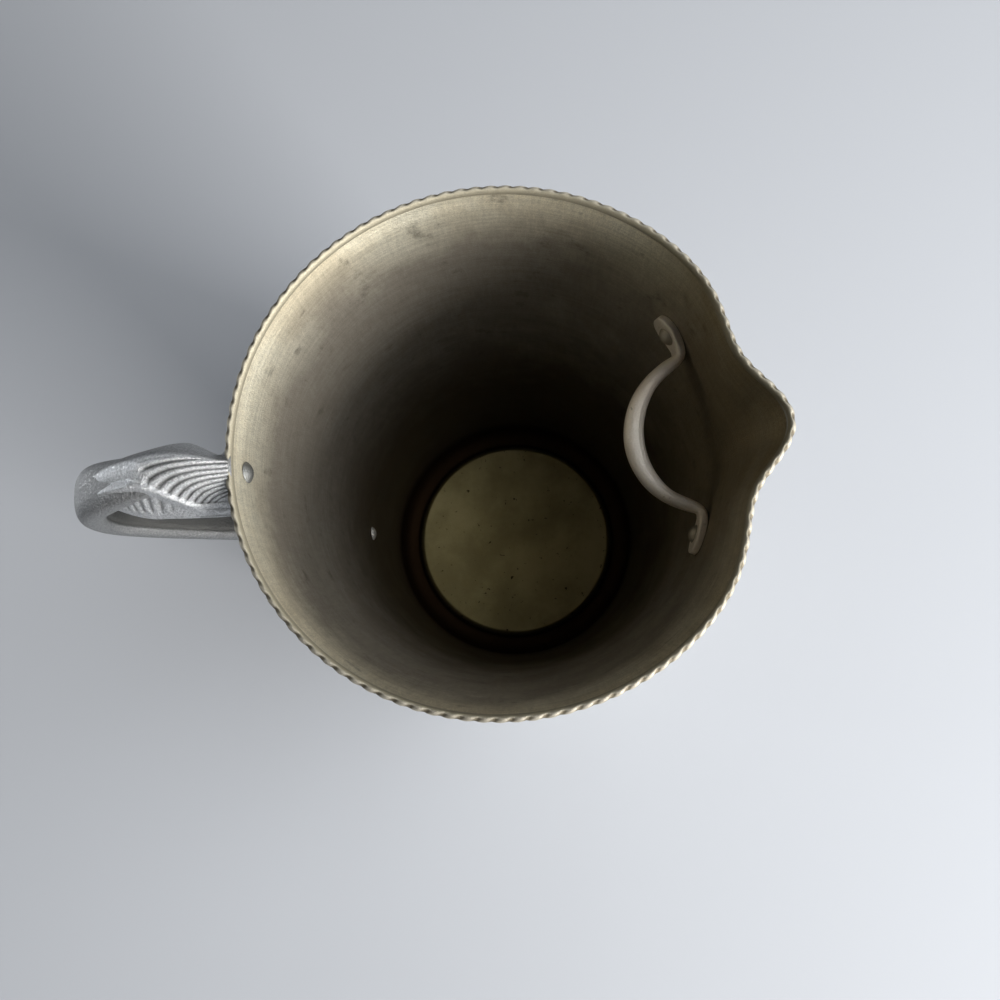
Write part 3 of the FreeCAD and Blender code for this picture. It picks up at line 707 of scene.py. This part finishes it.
# Painted shade: the inside of the lip, facing away from the window, is painted browner and darker.
lip_wall_shade = steps(tree, split.outputs["X"], 0.044, 0.068, 0, 0.8)
inside_colour = blend(tree, lip_wall_shade, inside_colour, (0.34, 0.27, 0.15))
inside_colour = blend(tree, steps(tree, depth_at, 0.176, 0.07), inside_colour, (0.11, 0.085, 0.055))
mark_weights = (("Streak", 0.1), ("Rings", 0.14), ("Grain", 0.2), ("Blots", 0.3))
marks = weighed(tree, 0.0, *((masks[title], weight) for title, weight in mark_weights))
inside_colour = blend(tree, marks, inside_colour, (0.09, 0.075, 0.055))
on_disc = steps(tree, split.outputs["Z"], 0.006, 0.004)
disc_tone = blend(tree, masks["Cloud"], (0.42, 0.36, 0.18), (0.53, 0.46, 0.24))
disc_tone = blend(tree, masks["Pits"], disc_tone, (0.08, 0.07, 0.03))
inside_colour = blend(tree, on_disc, inside_colour, disc_tone)
# Painted shade: the trough round the foot of the disc is painted near black.
inside_colour = blend(tree, corner_shade, inside_colour, (0.035, 0.02, 0.01))
sheet_colour = blend(tree, inside, outside_colour, inside_colour)
sheet_rough = weighed(tree, 0.62, (inside, 0.06), (masks["Cloud"], -0.08))
sheet_height = weighed(tree, masks["Grain"], (masks["Rings"], 0.5))
finish_surface(tree, shader, sheet_colour, sheet_rough, sheet_height, 0.05 * mm)

# %% [markdown]
# ### Rope metal
# The beads are pale and their grooves are painted dark as shade. A pointiness node could find the grooves, but it only
# works in one renderer. The rope's own mark says how deep each point lies, and another where its inner face begins,
# which gets a tone of its own as painted light.

# %% Rope metal
rope_metal, tree, shader, masks, where = start_finish("rope_metal")
# Painted shade: the grooves between the beads are painted dark.
groove = steps(tree, attribute(tree, "groove"), 0.15, 0.75)
bead_tone = blend(tree, masks["Cloud"], (0.46, 0.425, 0.35), (0.56, 0.525, 0.445))
# Painted light: the inner face, which faces away from the window, gets its own tone to match the lit wall beside it.
bead_tone = blend(tree, attribute(tree, "inside"), bead_tone, (0.47, 0.435, 0.34))
finish_surface(tree, shader, blend(tree, groove, bead_tone, (0.20, 0.175, 0.13)),
               steps(tree, masks["Grain"], 0, 1, 0.62, 0.74), masks["Grain"], 0.04 * mm)

# %% [markdown]
# ### Cast metal
# Sand casting leaves a granular skin. It could be real bumps in the mesh, but they are smaller than its faces, so a
# noise makes them. A mark on each piece darkens the veins' floors and paints shade along the bar, on the pad, under
# the leaf and on its far half, and it paints a highlight on the midrib.

# %% Cast metal
cast_metal, tree, shader, masks, where = start_finish("cast_metal")
# The mark paints shade on the bar, the pad, the leaf's underside and far half, and a highlight on the midrib; it also
# darkens the grooves.
recess = steps(tree, attribute(tree, "recess"), 0.1, 0.8)
sand = noise(tree, 1500, 4, 0.7, where)
skin = steps(tree, sand, 0.35, 0.65)
bright = blend(tree, skin, (0.55, 0.56, 0.57), (0.80, 0.81, 0.82))
finish_surface(tree, shader, blend(tree, recess, bright, (0.13, 0.13, 0.125)),
               steps(tree, skin, 0, 1, 0.52, 0.40), skin, 0.12 * mm)

# %% [markdown]
# ### Guard bar and rivets
# The guard is a drawn bar and the palest metal inside. Of the handle's rivets, the upper is dark and the lower is
# painted pale, a painted highlight for the bright spot on its head. They could share one finish, but each then looks
# wrong beside its neighbour, so a short loop makes three from the same recipe.

# %% Guard bar and rivets
guard_metal, tree, shader, masks, where = start_finish("guard_bar")
guard_colour = blend(tree, masks["Cloud"], (0.92, 0.83, 0.71), (1.0, 0.94, 0.84))
guard_colour = blend(tree, combine(tree, "MULTIPLY", masks["Grain"], 0.12), guard_colour, (0.40, 0.33, 0.25))
guard_colour = blend(tree, combine(tree, "MULTIPLY", masks["Pits"], 0.5), guard_colour, (0.26, 0.22, 0.17))
guard_rough = steps(tree, masks["Cloud"], 0, 1, 0.64, 0.54)
finish_surface(tree, shader, guard_colour, guard_rough, masks["Grain"], 0.10 * mm)
rivet_finishes = []
# Painted highlight: the lower rivet is painted pale for the bright spot on its head.
for name, cloud_low, cloud_high in (
    ("upper_rivet_metal", (0.17, 0.175, 0.17), (0.25, 0.255, 0.25)),
    ("lower_rivet_highlight", (0.86, 0.84, 0.78), (0.96, 0.94, 0.88)),
    ("guard_rivet_metal", (0.40, 0.36, 0.29), (0.54, 0.50, 0.42)),
):
    finish, tree, shader, masks, where = start_finish(name)
    rivet_colour = blend(tree, masks["Cloud"], cloud_low, cloud_high)
    rivet_rough = steps(tree, masks["Grain"], 0, 1, 0.5, 0.62)
    finish_surface(tree, shader, rivet_colour, rivet_rough, masks["Grain"], 0.06 * mm)
    rivet_finishes.append(finish)

# %% [markdown]
# ## Dressing the pieces
# A new piece rides on the frame's one body and stands for the solid it refines. The guard and the rivets keep their
# own meshes and only change their material.

# %% Dress the pieces
for piece, material, slot, node in (
    (body, sheet_metal, "spun_sheet", "body"),
    (rope, rope_metal, "spun_sheet", "body"),
    (bar, cast_metal, "cast_metal", "handle"),
    (leaf, cast_metal, "cast_metal", "handle"),
    (pad, cast_metal, "cast_metal", "handle"),
):
    piece.data.materials.append(material)
    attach(piece, "root")
    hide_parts(node)

kept = {"ice_guard": guard_metal}
for stem, finish in zip(("handle_rivet_upper", "handle_rivet_lower", "guard_rivet"), rivet_finishes):
    kept.update({node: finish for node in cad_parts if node.startswith(stem)})
for node, material in kept.items():
    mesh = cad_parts[node].data
    mesh.materials.clear()
    mesh.materials.append(material)
print("kept from the frame:", ", ".join(kept))

# %% [markdown]
# ## Floor
# The photograph looks down on white cloth. A plain pale floor stands for it: one large square, a little blue, as
# cloth in window light is.

# %% Floor
half_floor = 3.0
floor_mesh = bpy.data.meshes.new("floor")
corners = [(x, y, 0) for x, y in ((-1, -1), (1, -1), (1, 1), (-1, 1))]
floor_mesh.from_pydata([tuple(half_floor * value for value in point) for point in corners], [], [(0, 1, 2, 3)])
floor = bpy.data.objects.new("floor", floor_mesh)
bpy.context.scene.collection.objects.link(floor)
cloth = bpy.data.materials.new("pale_floor")
cloth.use_nodes = True
cloth_shader = cloth.node_tree.nodes["Principled BSDF"]
cloth_shader.inputs["Base Color"].default_value = (0.50, 0.52, 0.555, 1)
cloth_shader.inputs["Roughness"].default_value = 0.9
cloth_shader.inputs["Specular IOR Level"].default_value = 0.1
floor_mesh.materials.append(cloth)
floor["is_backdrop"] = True
print(f"floor: {2 * half_floor:.0f} m square")

# %% [markdown]
# ## Light
# Soft light comes into the mouth from the lower right and reaches only the upper part of the far wall. One sun lamp
# would cut hard shadows. Here a low area lamp is the window and a large one on the same side is the bright ceiling.
# Two small lamps below the rim's height light the outside for other views without reaching the inside.

# %% Light
scene = bpy.context.scene
scene.view_settings.view_transform = "Standard"
world = bpy.data.worlds.new("room")
scene.world = world
world.use_nodes = True
world.node_tree.nodes["Background"].inputs["Color"].default_value = (0.92, 0.95, 1.0, 1)
world.node_tree.nodes["Background"].inputs["Strength"].default_value = 0.045


def facing(place, target):
    """Matrix at a place whose -Z looks at a target, with Y as upright as it can be."""
    back_way = np.subtract(place, target) / np.linalg.norm(np.subtract(place, target))
    right_way = np.cross((0, 0, 1), back_way)
    right_way = right_way / np.linalg.norm(right_way)
    up_way = np.cross(back_way, right_way)
    rows = np.column_stack([right_way, up_way, back_way, place])
    return Matrix([*rows.tolist(), [0, 0, 0, 1]])


def lamp(name, place, target, size, power, colour):
    """Square area lamp at a place, facing a target."""
    data = bpy.data.lights.new(name, "AREA")
    data.size = size
    data.energy = power
    data.color = colour
    item = bpy.data.objects.new(name, data)
    item.matrix_world = facing(place, target)
    scene.collection.objects.link(item)
    print(f"{name}: {power} W from {np.linalg.norm(np.subtract(place, target)):.2f} m")


mouth = (0, 0, rim_height)
low_middle = (0, 0, 0.11)
lamp("window", (1.12, -0.95, 0.58), mouth, 0.75, 43, (1.0, 0.98, 0.95))
lamp("ceiling", (0.95, -0.1, 1.35), mouth, 1.3, 21, (0.96, 0.98, 1.0))
lamp("left_fill", (-1.5, 0.4, 0.11), low_middle, 0.2, 5, (0.94, 0.97, 1.0))
lamp("back_fill", (0.4, 1.5, 0.11), low_middle, 0.2, 5, (0.94, 0.97, 1.0))

# %% [markdown]
# ## Camera
# The rim's ellipse and the bottom disc in the photograph fix the camera: about 185 mm above the rim, a little nearer
# than the axis, with a wide lens. A camera could be aimed by eye, but the fit gives its place and two of its axes, and
# the third is square to both.

# %% Camera
eye = np.array([3.78, -50.67, 392.51]) * mm
camera_right = np.array([0.9938, -0.1027, -0.0436])
camera_forward = np.array([-0.0243, 0.1817, -0.9831])
camera_forward = camera_forward / np.linalg.norm(camera_forward)
camera_right = camera_right - camera_forward * (camera_right @ camera_forward)
camera_right = camera_right / np.linalg.norm(camera_right)
camera_up = np.cross(camera_right, camera_forward)
camera_data = bpy.data.cameras.new("camera")
camera_data.sensor_width = 36
camera_data.lens = 27.07
camera_data.clip_start = 0.01
camera = bpy.data.objects.new("camera", camera_data)
rows = np.column_stack([camera_right, camera_up, -camera_forward, eye])
camera.matrix_world = Matrix([*rows.tolist(), [0, 0, 0, 1]])
scene.collection.objects.link(camera)
scene.camera = camera
print(f"camera: {(eye[2] - rim_height) / mm:.0f} mm above the rim")

# %% [markdown]
# ## Last measurement
# Both boxes, of the solids and of the dressed part, are printed. The dressed part has to stay inside the solids'
# box.

# %% Print the boxes
shown_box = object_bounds()
for title, (low, high) in (("solids", cad_box), ("dressed", shown_box)):
    print(title, [round((b - a) / mm, 1) for a, b in zip(low, high)], "mm")
